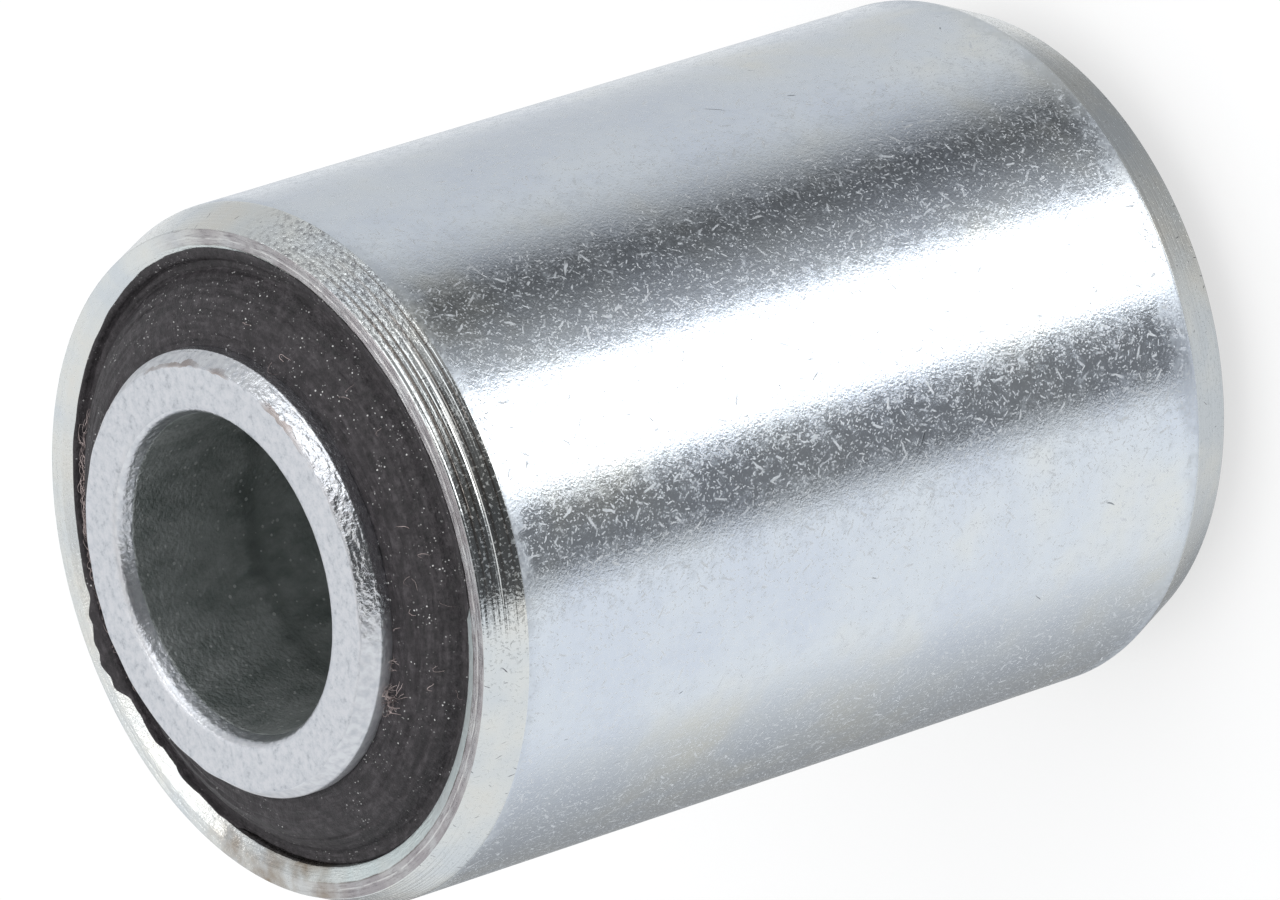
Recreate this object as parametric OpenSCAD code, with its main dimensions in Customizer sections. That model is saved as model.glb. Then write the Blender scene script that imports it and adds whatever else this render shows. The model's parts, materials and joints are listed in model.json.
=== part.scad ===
// Rubber-metal bush: an anti-vibration mount that cushions a bolt inside a bracket eye.
// A thin steel sleeve presses into the eye, a thick steel tube takes the bolt,
// and a ring of rubber bonded between them carries the load and swallows the shake.
// The bush stands on the lower end of its tube, with its axis along +Z.

/* [Inner tube] */
// Diameter of the bolt bore
bore_d = 10; // [5:0.5:20]
// Wall thickness of the tube
tube_wall = 2; // [1:0.1:5]
// How far the tube stands proud of the sleeve at each end
tube_proud = 1.65; // [1:0.05:5]
// Radial depth of the chamfer round the tube's ends
tube_chamfer_depth = 0.35; // [0.1:0.05:0.6]
// Axial length of the chamfer round the tube's ends
tube_chamfer_len = 0.5; // [0.1:0.05:0.8]
// Radial depth of the lead-in round the bore's ends
bore_lead_depth = 0.2; // [0.05:0.05:0.5]
// Axial length of the lead-in round the bore's ends
bore_lead_len = 0.55; // [0.05:0.05:1.5]

/* [Outer sleeve] */
// Length of the sleeve
sleeve_len = 29.7; // [12:0.1:80]
// Wall thickness of the sleeve
sleeve_wall = 1.5; // [1:0.1:4]
// Axial length of the lead-in chamfer turned on the sleeve's upper end
lead_in_len = 1.3; // [0.3:0.05:3]
// Radial depth of the upper lead-in chamfer
lead_in_depth = 0.55; // [0.1:0.05:0.8]
// Axial length of the lower lead-in chamfer, cut a little further at the same angle
low_lead_in_len = 1.7; // [0.3:0.05:3]
// Width of the shallow dish round the inside of the sleeve's end faces
mouth_dish_w = 0.45; // [0.1:0.05:0.6]
// Depth of that dish at the sleeve's bore
mouth_dish_depth = 0.2; // [0.05:0.05:0.35]

/* [Rubber element] */
// Thickness of the rubber between the tube and the sleeve
rubber_wall = 2.5; // [1.5:0.1:8]
// Depth of the rubber's outer edge below the sleeve's end face
rubber_recess = 0.4; // [0.1:0.05:1.5]
// Length of tube left bare between the rubber's inner edge and the tube's end face
bare_tube = 0.9; // [0.6:0.05:2]
// Width of the land along the sleeve wall, outside the swell
land_w = 0.45; // [0.2:0.05:1]
// Height that the land rises from the sleeve wall to the foot of the swell
land_rise = 0.1; // [0.05:0.05:0.3]
// Height of the swell's arc over its chord
swell_rise = 0.3; // [0.05:0.05:0.6]

/* [Hidden] */
$fn = 128;
tube_len = sleeve_len + 2 * tube_proud;
mid_z = tube_len / 2;
bore_r = bore_d / 2;
tube_r = bore_r + tube_wall;
mouth_r = tube_r + rubber_wall;
sleeve_r = mouth_r + sleeve_wall;

// One cone angle serves both lead-ins, so the longer is also the deeper
low_lead_in_depth = lead_in_depth * low_lead_in_len / lead_in_len;

// The dish leaves a part of the flat beside the deeper lead-in as the sleeve's end face
dish_share = 0.6;
dish_w = min(mouth_dish_w, dish_share * (sleeve_wall - max(lead_in_depth, low_lead_in_depth)));

// Half-lengths from the bush's middle, where the rubber's end face begins and ends
sleeve_half = sleeve_len / 2;
land_z = sleeve_half - rubber_recess;
inner_z = tube_len / 2 - bare_tube;

// The swell is an arc from its foot, beside the land, to the rubber's edge on the tube
foot = [mouth_r - land_w, land_z + land_rise];
crown = [tube_r, inner_z];
chord = norm(crown - foot);
outward = [crown.y - foot.y, foot.x - crown.x] / chord;
swell_r = (chord ^ 2 / 4 + swell_rise ^ 2) / (2 * swell_rise);
swell_centre = (foot + crown) / 2 + outward * (swell_rise - swell_r);

// The land runs on a little way under the swell, so that the arc cuts it cleanly
land_end = foot + swell_rise * [-1, land_rise / land_w];

zinc_plate = [0.76, 0.79, 0.81];
bare_zinc = [0.80, 0.81, 0.83];
black_rubber = [0.17, 0.16, 0.17];

// Closes the outline of an upper end, listed from the inner wall outwards, with its mirror image
function both_ends(upper) = concat(
    upper,
    [for (i = [len(upper) - 1 : -1 : 0]) [upper[i].x, -upper[i].y]]
);

// Revolves a section that is drawn about the middle of the bush
module turned() {
    translate([0, 0, mid_z])
        rotate_extrude()
            children();
}

// Thin sleeve with a long lead-in chamfer outside each end and a shallow dish inside
module outer_sleeve() {
    color(zinc_plate)
        turned()
            polygon([
                [mouth_r, sleeve_half - mouth_dish_depth],
                [mouth_r + dish_w, sleeve_half],
                [sleeve_r - lead_in_depth, sleeve_half],
                [sleeve_r, sleeve_half - lead_in_len],
                [sleeve_r, low_lead_in_len - sleeve_half],
                [sleeve_r - low_lead_in_depth, -sleeve_half],
                [mouth_r + dish_w, -sleeve_half],
                [mouth_r, mouth_dish_depth - sleeve_half]
            ]);
}

// Air over the rubber's end face: all that lies outside the land and the swell's arc
module end_air() {
    difference() {
        polygon([[tube_r, land_z], land_end, [mouth_r, land_z], [mouth_r, tube_len], [tube_r, tube_len]]);
        translate(swell_centre)
            circle(r = swell_r);
    }
}

// Rubber ring: a narrow land along the sleeve, then a swell that climbs up the tube
module rubber_element() {
    color(black_rubber)
        turned()
            difference() {
                translate([tube_r, -mid_z])
                    square([rubber_wall, tube_len]);
                end_air();
                mirror([0, 1])
                    end_air();
            }
}

// Thick tube, the full height of the bush, with chamfered ends and a slight lead-in for the bolt
module inner_tube() {
    color(bare_zinc)
        turned()
            polygon(both_ends([
                [bore_r, mid_z - bore_lead_len],
                [bore_r + bore_lead_depth, mid_z],
                [tube_r - tube_chamfer_depth, mid_z],
                [tube_r, mid_z - tube_chamfer_len]
            ]));
}

outer_sleeve();
rubber_element();
inner_tube();
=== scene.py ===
import json
import math
import random

import bpy
import numpy as np
from mathutils import Matrix, Vector, noise


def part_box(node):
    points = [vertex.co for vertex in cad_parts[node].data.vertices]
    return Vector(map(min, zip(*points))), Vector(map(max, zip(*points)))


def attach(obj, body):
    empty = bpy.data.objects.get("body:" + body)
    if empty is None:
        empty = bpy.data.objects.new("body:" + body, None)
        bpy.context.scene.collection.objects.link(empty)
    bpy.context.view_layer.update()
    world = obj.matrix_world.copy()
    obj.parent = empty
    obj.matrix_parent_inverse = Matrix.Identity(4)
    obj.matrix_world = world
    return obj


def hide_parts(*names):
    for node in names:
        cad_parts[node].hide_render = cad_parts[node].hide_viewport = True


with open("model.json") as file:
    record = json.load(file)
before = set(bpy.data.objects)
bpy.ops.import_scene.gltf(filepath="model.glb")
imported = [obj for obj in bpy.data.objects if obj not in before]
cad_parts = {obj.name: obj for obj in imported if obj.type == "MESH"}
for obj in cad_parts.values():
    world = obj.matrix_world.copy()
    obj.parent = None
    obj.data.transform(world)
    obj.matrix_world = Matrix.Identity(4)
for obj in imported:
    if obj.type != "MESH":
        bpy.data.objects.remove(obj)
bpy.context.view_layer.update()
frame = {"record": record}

mm = 0.001
turn = 2 * math.pi

# sizes that the solids already hold, in millimetres
sleeveLow, sleeveHigh = (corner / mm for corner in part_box("outer_sleeve"))
rubberLow, rubberHigh = (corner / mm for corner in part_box("rubber_element"))
tubeLow, tubeHigh = (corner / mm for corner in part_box("inner_tube"))
boreRadius = next(m["dims"]["r_mm"] for m in frame["record"]["mounts"] if m["name"] == "bolt_bore")
sleeveRadius = min(sleeveHigh.x, sleeveHigh.y, -sleeveLow.x, -sleeveLow.y)  # inside the facets of the solid
mouthRadius, tubeRadius = rubberHigh.x, tubeHigh.x
midHeight = (tubeLow.z + tubeHigh.z) / 2
sleeveHalf, rubberHalf, tubeHalf = ((high.z - low.z) / 2 for low, high in (
    (sleeveLow, sleeveHigh), (rubberLow, rubberHigh), (tubeLow, tubeHigh)))


# small helpers for colours and nodes
def linearColour(code):
    parts = [int(code[i:i + 2], 16) / 255 for i in (1, 3, 5)]
    return [p / 12.92 if p <= 0.04045 else ((p + 0.055) / 1.055) ** 2.4 for p in parts] + [1.0]


def addNode(tree, kind, settings=None, links=None):
    node = tree.nodes.new(kind)
    for key, value in (settings or {}).items():
        if isinstance(key, int) or key in node.inputs:
            node.inputs[key].default_value = value
        else:
            setattr(node, key, value)
    for key, source in (links or {}).items():
        tree.links.new(source, node.inputs[key])
    return node


def setStops(ramp, stops):
    elements = ramp.color_ramp.elements
    while len(elements) > 1:
        elements.remove(elements[-1])
    for i, (place, colour) in enumerate(stops):
        stop = elements[0] if i == 0 else elements.new(place)
        stop.position = place
        stop.color = linearColour(colour) if isinstance(colour, str) else [*colour, 1]
    return ramp


mixFactor, mixFirst, mixSecond, mixResult = 0, 6, 7, 2  # sockets of a Mix node set to colour


def newFinish(name, fixed):
    # a material with the shader's fixed values set, and the place on the part in millimetres
    material = bpy.data.materials.new(name)
    material.use_nodes = True
    tree = material.node_tree
    shader = tree.nodes["Principled BSDF"]
    for socket, value in fixed.items():
        shader.inputs[socket].default_value = value
    coords = addNode(tree, "ShaderNodeTexCoord")
    inMm = addNode(tree, "ShaderNodeMapping", {"Scale": (1 / mm,) * 3}, {"Vector": coords.outputs["Object"]})
    return material, tree, shader, inMm.outputs["Vector"]


def radiusOf(tree, placeMm):
    flat = addNode(tree, "ShaderNodeVectorMath", {"operation": "MULTIPLY", 1: (1, 1, 0)}, {0: placeMm})
    return addNode(tree, "ShaderNodeVectorMath", {"operation": "LENGTH"},
                   {0: flat.outputs["Vector"]}).outputs["Value"]


def bearingOf(tree, placeMm):
    # points straight out from the axis, one unit long
    flat = addNode(tree, "ShaderNodeVectorMath", {"operation": "MULTIPLY", 1: (1, 1, 0)}, {0: placeMm})
    return addNode(tree, "ShaderNodeVectorMath", {"operation": "NORMALIZE"},
                   {0: flat.outputs["Vector"]}).outputs["Vector"]


def sideMask(tree, placeMm, heading, start, full):
    # grows from 0 to 1 towards a heading in degrees; start and full are cosines of the angle off it
    side = math.radians(heading)
    facing = addNode(tree, "ShaderNodeVectorMath",
                     {"operation": "DOT_PRODUCT", 1: (math.cos(side), math.sin(side), 0)},
                     {0: bearingOf(tree, placeMm)})
    return addNode(tree, "ShaderNodeMapRange", {"From Min": start, "From Max": full},
                   {"Value": facing.outputs["Value"]}).outputs["Result"]


def whereAll(tree, *masks):
    # bright only where every one of the masks is
    result = masks[0]
    for mask in masks[1:]:
        result = addNode(tree, "ShaderNodeMath", {"operation": "MULTIPLY"},
                         {0: result, 1: mask}).outputs["Value"]
    return result


def ringFlow(tree, placeMm, around, across):
    # noise drawn out round the axis: how often it changes round the ring, and over how many mm outwards
    outwards = addNode(tree, "ShaderNodeMath", {"operation": "DIVIDE", 1: across},
                       {0: radiusOf(tree, placeMm)})
    level = addNode(tree, "ShaderNodeCombineXYZ", links={"Z": outwards.outputs["Value"]})
    spot = addNode(tree, "ShaderNodeVectorMath", {"operation": "MULTIPLY_ADD", 1: (around, around, 0)},
                   {0: bearingOf(tree, placeMm), 2: level.outputs["Vector"]})
    return addNode(tree, "ShaderNodeTexNoise", {"Scale": 1.0, "Detail": 4.0, "Roughness": 0.65},
                   {"Vector": spot.outputs["Vector"]}).outputs["Fac"]


# how a short mark is drawn, as shares of its cell or of itself
mark = {"wave": 1.5, "bend": 0.25, "shortest": 0.3, "sideSoft": 0.4, "endSoft": 0.3, "strongest": 0.1}


def scratches(tree, cell, length, width, spread, shift, share):
    # one short mark in a share of the cells, in mm on the unrolled surface,
    # turned by up to the spread off the axis
    unrolled = tree.nodes["Texture Coordinate"].outputs["UV"]
    spot = addNode(tree, "ShaderNodeMapping", {"Scale": (1 / cell,) * 3, "Location": (shift, shift, 0)},
                   {"Vector": unrolled})
    wave = addNode(tree, "ShaderNodeTexNoise", {"noise_dimensions": "2D", "Scale": mark["wave"]},
                   {"Vector": spot.outputs["Vector"]})
    bend = addNode(tree, "ShaderNodeVectorMath",
                   {"operation": "MULTIPLY_ADD", 1: (mark["bend"], mark["bend"], 0)},
                   {0: wave.outputs["Color"], 2: spot.outputs["Vector"]})
    cells = addNode(tree, "ShaderNodeTexVoronoi", {"voronoi_dimensions": "2D", "Scale": 1.0},
                    {"Vector": bend.outputs["Vector"]})
    local = addNode(tree, "ShaderNodeVectorMath", {"operation": "SUBTRACT"},
                    {0: bend.outputs["Vector"], 1: cells.outputs["Position"]})
    chance = addNode(tree, "ShaderNodeSeparateColor", links={"Color": cells.outputs["Color"]})
    angle = addNode(tree, "ShaderNodeMapRange", {"To Min": -spread, "To Max": spread},
                    {"Value": chance.outputs["Red"]})
    turned = addNode(tree, "ShaderNodeVectorRotate", {"rotation_type": "Z_AXIS"},
                     {"Vector": local.outputs["Vector"], "Angle": angle.outputs["Result"]})
    apart = addNode(tree, "ShaderNodeSeparateXYZ", links={"Vector": turned.outputs["Vector"]})
    short = addNode(tree, "ShaderNodeMapRange", {"To Min": mark["shortest"]},
                    {"Value": chance.outputs["Blue"]})
    lengthwise = addNode(tree, "ShaderNodeMath", {"operation": "DIVIDE"},
                         {0: apart.outputs["Y"], 1: short.outputs["Result"]})
    chosen = addNode(tree, "ShaderNodeMapRange", {"From Min": share, "From Max": mark["strongest"] * share},
                     {"Value": chance.outputs["Green"]})
    masks = []
    for source, reach, soft in ((apart.outputs["X"], width / cell / 2, mark["sideSoft"]),
                                (lengthwise.outputs["Value"], length / cell / 2, mark["endSoft"])):
        away = addNode(tree, "ShaderNodeMath", {"operation": "ABSOLUTE"}, {0: source})
        inside = addNode(tree, "ShaderNodeMapRange",
                         {"interpolation_type": "SMOOTHSTEP", "From Min": reach, "From Max": reach * soft},
                         {"Value": away.outputs["Value"]})
        masks.append(inside.outputs["Result"])
    return whereAll(tree, *masks, chosen.outputs["Result"])


# small helpers for turned shapes
def softOutline(corners, steps, bendPoints=6, mostOfEdge=0.45):
    # corners: radius, height, softness and the name of the edge that starts there, inner wall first
    bends, points, edges = [], [], []
    for i, (radius, height, soft, edge) in enumerate(corners):
        corner = np.array([radius, height])
        before = np.array(corners[i - 1][:2]) - corner
        after = np.array(corners[(i + 1) % len(corners)][:2]) - corner
        spans = np.linalg.norm(before), np.linalg.norm(after)
        reach = min(soft, mostOfEdge * spans[0], mostOfEdge * spans[1])
        bends.append((corner + before / spans[0] * reach, corner, corner + after / spans[1] * reach))
    half = bendPoints // 2
    for i, (enter, corner, leave) in enumerate(bends):
        edge = corners[i][3]
        for t in np.linspace(0, 1, bendPoints):
            points.append((1 - t) ** 2 * enter + 2 * t * (1 - t) * corner + t * t * leave)
        gap = bends[(i + 1) % len(bends)][0] - leave
        count = max(1, round(np.linalg.norm(gap) / steps[edge]))
        points += [leave + gap * k / count for k in range(1, count)]
        edges += [corners[i - 1][3]] * half + [edge] * (bendPoints - half + count - 1)
    return np.array(points), np.array(edges)


def outlineNormals(points):
    along = np.roll(points, -1, 0) - np.roll(points, 1, 0)
    normals = np.stack([-along[:, 1], along[:, 0]], 1)
    return normals / np.linalg.norm(normals, axis=1, keepdims=True)


def lumps(x, y, z, size, shift=0.0):
    # smooth noise from -1 to 1 at every point, with lumps of the given size
    spots = np.stack(np.broadcast_arrays(x, y, z), -1).reshape(-1, 3) / size + shift
    return np.array([noise.noise(Vector(spot)) for spot in spots]).reshape(np.broadcast(x, y, z).shape)


def offHeading(angle, heading):
    # the short way round from a heading, in radians
    return np.mod(angle - heading + math.pi, turn) - math.pi


def ringPiece(name, radius, height, finishOf, finishes):
    # rows run round the section, columns round the axis, both in millimetres
    rows, columns = radius.shape
    angle = np.arange(columns) * turn / columns
    spots = np.stack([radius * np.cos(angle), radius * np.sin(angle), height], -1).reshape(-1, 3) * mm
    row, column = np.meshgrid(np.arange(rows), np.arange(columns), indexing="ij")
    nextRow, nextColumn = (row + 1) % rows, (column + 1) % columns
    faces = np.stack([row * columns + column, nextRow * columns + column,
                      nextRow * columns + nextColumn, row * columns + nextColumn], -1).reshape(-1, 4)
    mesh = bpy.data.meshes.new(name)
    mesh.from_pydata(spots.tolist(), [], faces.tolist())
    mesh.polygons.foreach_set("use_smooth", np.ones(len(faces), bool))
    for finish in finishes:
        mesh.materials.append(finish)
    mesh.polygons.foreach_set("material_index", np.repeat(finishOf, columns).astype(np.int32))
    # the surface unrolled in millimetres, for marks that run along or across the axis
    step = np.hypot(np.diff(radius[:, 0], append=radius[0, 0]), np.diff(height[:, 0], append=height[0, 0]))
    along = np.concatenate([[0], np.cumsum(step)])
    around = np.arange(columns + 1) * turn / columns * radius.max()
    unrolled = np.stack([np.stack([around[column + right], along[row + down]], -1)
                         for right, down in ((0, 0), (0, 1), (1, 1), (1, 0))], 2)
    mesh.uv_layers.new(name="unrolledMm").data.foreach_set("uv", unrolled.astype(np.float32).ravel())
    mesh.update()
    piece = bpy.data.objects.new(name, mesh)
    bpy.context.collection.objects.link(piece)
    print("made", name, len(spots), "points")
    return piece


# camera, at the photograph's angle
camera = {"lens": 450, "sensor": 36, "clip": (0.01, 5), "elevation": 36.351, "roll": -107.623,
          # where the middle of the sleeve's near end lies, in mm from the camera
          "distance": 483.33, "right": -11.354, "up": -3.474}

elevation, roll = math.radians(camera["elevation"]), math.radians(camera["roll"])
forward = Vector((0, math.cos(elevation), -math.sin(elevation)))
levelRight, levelUp = Vector((1, 0, 0)), Vector((0, math.sin(elevation), math.cos(elevation)))
right = math.cos(roll) * levelRight + math.sin(roll) * levelUp
up = -math.sin(roll) * levelRight + math.cos(roll) * levelUp
nearEnd = Vector((0, 0, sleeveHigh.z))
place = nearEnd - camera["right"] * right - camera["up"] * up - camera["distance"] * forward
cameraData = bpy.data.cameras.new("photoCamera")
cameraData.lens, cameraData.sensor_width = camera["lens"], camera["sensor"]
cameraData.clip_start, cameraData.clip_end = camera["clip"]
photoCamera = bpy.data.objects.new("photoCamera", cameraData)
axes = Matrix((right, up, -forward)).transposed()
photoCamera.matrix_world = Matrix.Translation(place * mm) @ axes.to_4x4()
bpy.context.collection.objects.link(photoCamera)
bpy.context.scene.camera = photoCamera
print("camera placed")

# studio: a tent of soft light with dark gaps and one strip box, over a light table; lengths in metres
studio = {"ceiling": 0.90, "zenith": 0.62, "tint": (0.978, 1.0, 1.022),
          "tableTone": "#959595", "tableGlow": 0.66, "tableRough": 0.9, "tableSize": 1.25,
          "surroundShare": 1.02, "keyPower": 1.9, "keySize": 0.5, "keyPlace": (0.1, -0.3, 0.5),
          "topPower": 0.2, "topSize": 0.17, "topPlace": (0.16, 0.10, 0.44)}
# heading round the part in degrees, from +X towards +Y, and how bright the tent is there
floorRing = [(-180, 0.74), (-60, 0.56), (0, 0.36), (60, 0.28), (100, 0.50), (150, 0.72), (180, 0.74)]
lowWall = [(-180, 0.93), (-131, 0.95), (-126, 0.90), (-121, 0.29), (-118, 0.18), (-111, 0.23), (-104, 0.19),
           (-99, 0.30), (-95, 0.75), (-92, 1.3), (-88, 4.0), (-64, 4.4), (-60, 1.3), (-56, 0.64), (-51, 0.46),
           (-44, 0.34), (-36, 0.19), (-24, 0.09), (-16, 0.33), (-8, 0.58), (6, 0.74), (44, 0.68), (60, 0.74),
           (76, 0.92), (90, 0.62), (100, 0.34), (116, 0.33), (140, 0.46), (164, 0.70), (180, 0.93)]
midWall = [(-180, 0.86), (-136, 0.90), (-123, 0.88), (-121, 0.09), (-96, 0.07), (-58, 0.12), (-50, 0.34),
           (-30, 0.42), (-12, 0.55), (6, 0.62), (50, 0.64), (66, 0.80), (78, 0.96), (90, 0.87), (180, 0.86)]
highWall = [(-180, 0.86), (-140, 0.90), (-132, 0.88), (-129, 0.08), (-84, 0.08), (-74, 0.30), (-67, 1.1),
            (-60, 1.6), (-12, 1.6), (4, 0.90), (16, 0.60), (50, 0.64), (66, 0.80), (78, 0.94), (90, 0.87),
            (180, 0.86)]
# each band of the tent, and the sines of the elevation where it starts to show and where it is full
tentBands = ((floorRing, -1, -1), (lowWall, -0.88, -0.70), (midWall, -0.46, -0.24), (highWall, 0.20, 0.38),
             (studio["ceiling"], 0.66, 0.80), (studio["zenith"], 0.86, 0.97))

world = bpy.data.worlds.new("lightTent")
bpy.context.scene.world = world
world.use_nodes = True
tent = world.node_tree
outlook = addNode(tent, "ShaderNodeTexCoord")
parts = addNode(tent, "ShaderNodeSeparateXYZ", links={"Vector": outlook.outputs["Generated"]})
azimuth = addNode(tent, "ShaderNodeMath", {"operation": "ARCTAN2"},
                  {0: parts.outputs["Y"], 1: parts.outputs["X"]})
lap = addNode(tent, "ShaderNodeMapRange", {"From Min": -math.pi, "From Max": math.pi},
              {"Value": azimuth.outputs["Value"]})
tentColour = None
for levels, start, full in tentBands:
    if isinstance(levels, list):
        wall = addNode(tent, "ShaderNodeValToRGB", links={"Fac": lap.outputs["Result"]})
        setStops(wall, [(degrees / 360 + 0.5, [level * share for share in studio["tint"]])
                        for degrees, level in levels])
        settings, links = {"data_type": "RGBA"}, {mixSecond: wall.outputs["Color"]}
        if tentColour is None:
            tentColour = wall.outputs["Color"]
            continue
    else:
        settings, links = {"data_type": "RGBA", mixSecond: [levels] * 3 + [1]}, {}
    rise = addNode(tent, "ShaderNodeMapRange",
                   {"interpolation_type": "SMOOTHSTEP", "From Min": start, "From Max": full},
                   {"Value": parts.outputs["Z"]})
    links.update({mixFactor: rise.outputs["Result"], mixFirst: tentColour})
    tentColour = addNode(tent, "ShaderNodeMix", settings, links).outputs[mixResult]
tent.links.new(tentColour, tent.nodes["Background"].inputs["Color"])

for panelName in ("key", "top"):
    panelData = bpy.data.lights.new(panelName + "Panel", "AREA")
    panelData.energy, panelData.size = studio[panelName + "Power"], studio[panelName + "Size"]
    panel = bpy.data.objects.new(panelName + "Panel", panelData)
    panel.location = studio[panelName + "Place"]
    panel.rotation_euler = (-panel.location).to_track_quat("-Z", "Y").to_euler()
    panel.visible_glossy = panelName == "top"  # only the top panel shows in the metal
    bpy.context.collection.objects.link(panel)

# opal acrylic light table: part of its white is its own glow, so the shadow on it stays pale
tableTop = newFinish("opalAcrylicTable", {
    "Base Color": linearColour(studio["tableTone"]), "Roughness": studio["tableRough"],
    "Emission Color": (1, 1, 1, 1), "Emission Strength": studio["tableGlow"]})[0]
bpy.ops.mesh.primitive_circle_add(vertices=96, radius=studio["tableSize"], fill_type="NGON")
table = bpy.context.object
table.name = "studioTable"
table.data.materials.append(tableTop)
table.visible_glossy = False  # the part mirrors the tent, as it would held clear of the table

# white paper all round, which only the camera sees
backTone = bpy.data.materials.new("whiteSurround")
backTone.use_nodes = True
backTone.node_tree.nodes.clear()
glow = addNode(backTone.node_tree, "ShaderNodeEmission", {"Color": (1, 1, 1, 1), "Strength": 1.0})
addNode(backTone.node_tree, "ShaderNodeOutputMaterial", links={"Surface": glow.outputs["Emission"]})
bpy.ops.mesh.primitive_uv_sphere_add(radius=studio["tableSize"] * studio["surroundShare"])
surround = bpy.context.object
surround.name = "whiteSurround"
surround.data.materials.append(backTone)
surround.visible_diffuse = surround.visible_glossy = surround.visible_transmission = False
surround.visible_volume_scatter = surround.visible_shadow = False
bpy.context.scene.view_settings.view_transform = "Standard"
print("studio lit")

# outer sleeve, in mm
sleeve = {"dishWidth": 0.45, "dishDepth": 0.2, "leadInDepth": 0.55, "leadInLength": 1.3,
          "lowLeadInLength": 1.7, "edgeSoft": 0.05, "shoulderSoft": 0.13, "columns": 360, "seed": 11,
          "steps": {"wall": 9.0, "dish": 0.045, "lip": 0.04, "leadIn": 0.024, "barrel": 0.7},
          # turning grooves: depths, widths and gaps are ranges of shares of the two values before them
          "grooveSpacing": 0.13, "grooveDepth": 0.036, "depths": (0.2, 1.0), "widths": (0.24, 0.55),
          "gaps": (0.6, 1.7), "margin": 0.1, "lowGrooves": 0.14,
          "fadeSize": 0.7, "fadeApart": 40.0, "fadeMiddle": 0.7, "fadeSwing": 1.4, "fadeLeast": 0.08,
          "biteHeading": -72, "biteSlope": 3.2, "biteShift": 1.8, "biteLeast": 0.1,
          "dents": 60, "dentSize": (0.5, 1.3), "dentDepth": (0.002, 0.008),
          "lipLump": 0.35, "lipDepth": 0.008, "lipLine": (10.2, 0.03, 0.012),  # radius, width and depth
          "nick": (139, 9.85, 0.22, 0.06)}  # heading in degrees, radius, size and depth
# short marks: cell, longest, width, turn off the axis in radians, shift of the pattern, share of the cells
# sides: heading in degrees, then the cosines off it where the mask starts and where it is full
barrelValues = {"cool": "#d7dee8", "plain": "#dee4ea", "warm": "#e5e6e1", "fleck": "#eff2f5",
                "markTone": "#8b9096",
                "tintPatch": 6.0, "cloud": 1.8, "grain": 0.10, "grainDepth": 0.006, "dot": 0.11,
                "biggestDot": 0.6, "rough": 0.10, "speckRough": 0.50, "mottle": 0.4, "mottleRough": 0.20,
                "markDepth": 0.01, "upperDull": 0.75, "lowerDull": 1.5, "dullWander": 0.8, "dullRough": 0.30,
                "scuffs": ((0.15, 0.17, 0.05, 1.3, 6.3, 0.85), (0.30, 0.36, 0.06, 1.3, 3.1, 0.9),
                           (0.8, 0.7, 0.10, 1.3, 4.4, 1.0)),
                "nicks": (5.5, 0.9, 0.06, 1.5, 7.7, 0.30), "hairs": (2.4, 0.5, 0.04, 1.5, 1.3, 0.30)}
coneValues = {"cool": "#dadfe2", "plain": "#e4e6e4", "warm": "#e8e6df", "markTone": "#6c6a70",
              "dirt": "#85766b",
              "tintPatch": 3.0, "grain": 0.10, "grainDepth": 0.005, "rough": 0.08, "speckRough": 0.42,
              "ringSpacing": 0.05, "ringDepth": 0.007, "dirtSpacing": 0.11, "dirtShade": 0.75,
              "dirtSide": (-74, 0.8, 0.96), "sugar": 0.17, "sugarDepth": 0.10, "gapShade": 0.6,
              "sugarSide": (-43, 0.92, 0.985),
              "nicks": (0.62, 0.36, 0.04, 0.7, 2.2, 0.45), "flecks": (0.22, 0.28, 0.045, 0.5, 9.1, 0.6)}
lipValues = {"cool": "#dadfe2", "plain": "#e4e6e4", "warm": "#e8e6df", "dish": "#dfe8e8",
             "dishLine": "#6a625f",
             "lip": "#aca7a9", "lipRidge": "#e0dedd", "scrape": "#858083", "stain": "#8d785f",
             "tintPatch": 3.0, "cloud": 0.9, "grain": 0.10, "grainDepth": 0.010, "rough": 0.10,
             "speckRough": 0.30, "dishRough": 0.4, "scoreAround": 16, "scoreAcross": 0.07, "scoreDepth": 0.03,
             "scrapedSide": (-100, -0.25, 0.1), "bareSide": (-148, 0.6, 0.8), "stainSide": (154, 0.93, 0.99),
             # radii of the rings on the end face, which wander in and out a little
             "ringsFrom": 9.5, "ringsTo": 10.5, "wander": 0.08, "dishEnd": 9.96,
             "rings": ((9.92, "dish"), (9.96, "dishLine"), (10.0, "lip"), (10.13, "lip"), (10.16, "lipRidge"),
                       (10.2, "lip"))}


def zincTint(tree, placeMm, values):
    # the plate's passivation drifts from blue to faintly yellow
    patch = addNode(tree, "ShaderNodeTexNoise",
                    {"Scale": 1 / values["tintPatch"], "Detail": 4.0, "Roughness": 0.6}, {"Vector": placeMm})
    tint = addNode(tree, "ShaderNodeValToRGB", links={"Fac": patch.outputs["Fac"]})
    setStops(tint, [(0.38, values["cool"]), (0.54, values["plain"]), (0.70, values["warm"])])
    return tint.outputs["Color"]


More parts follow.
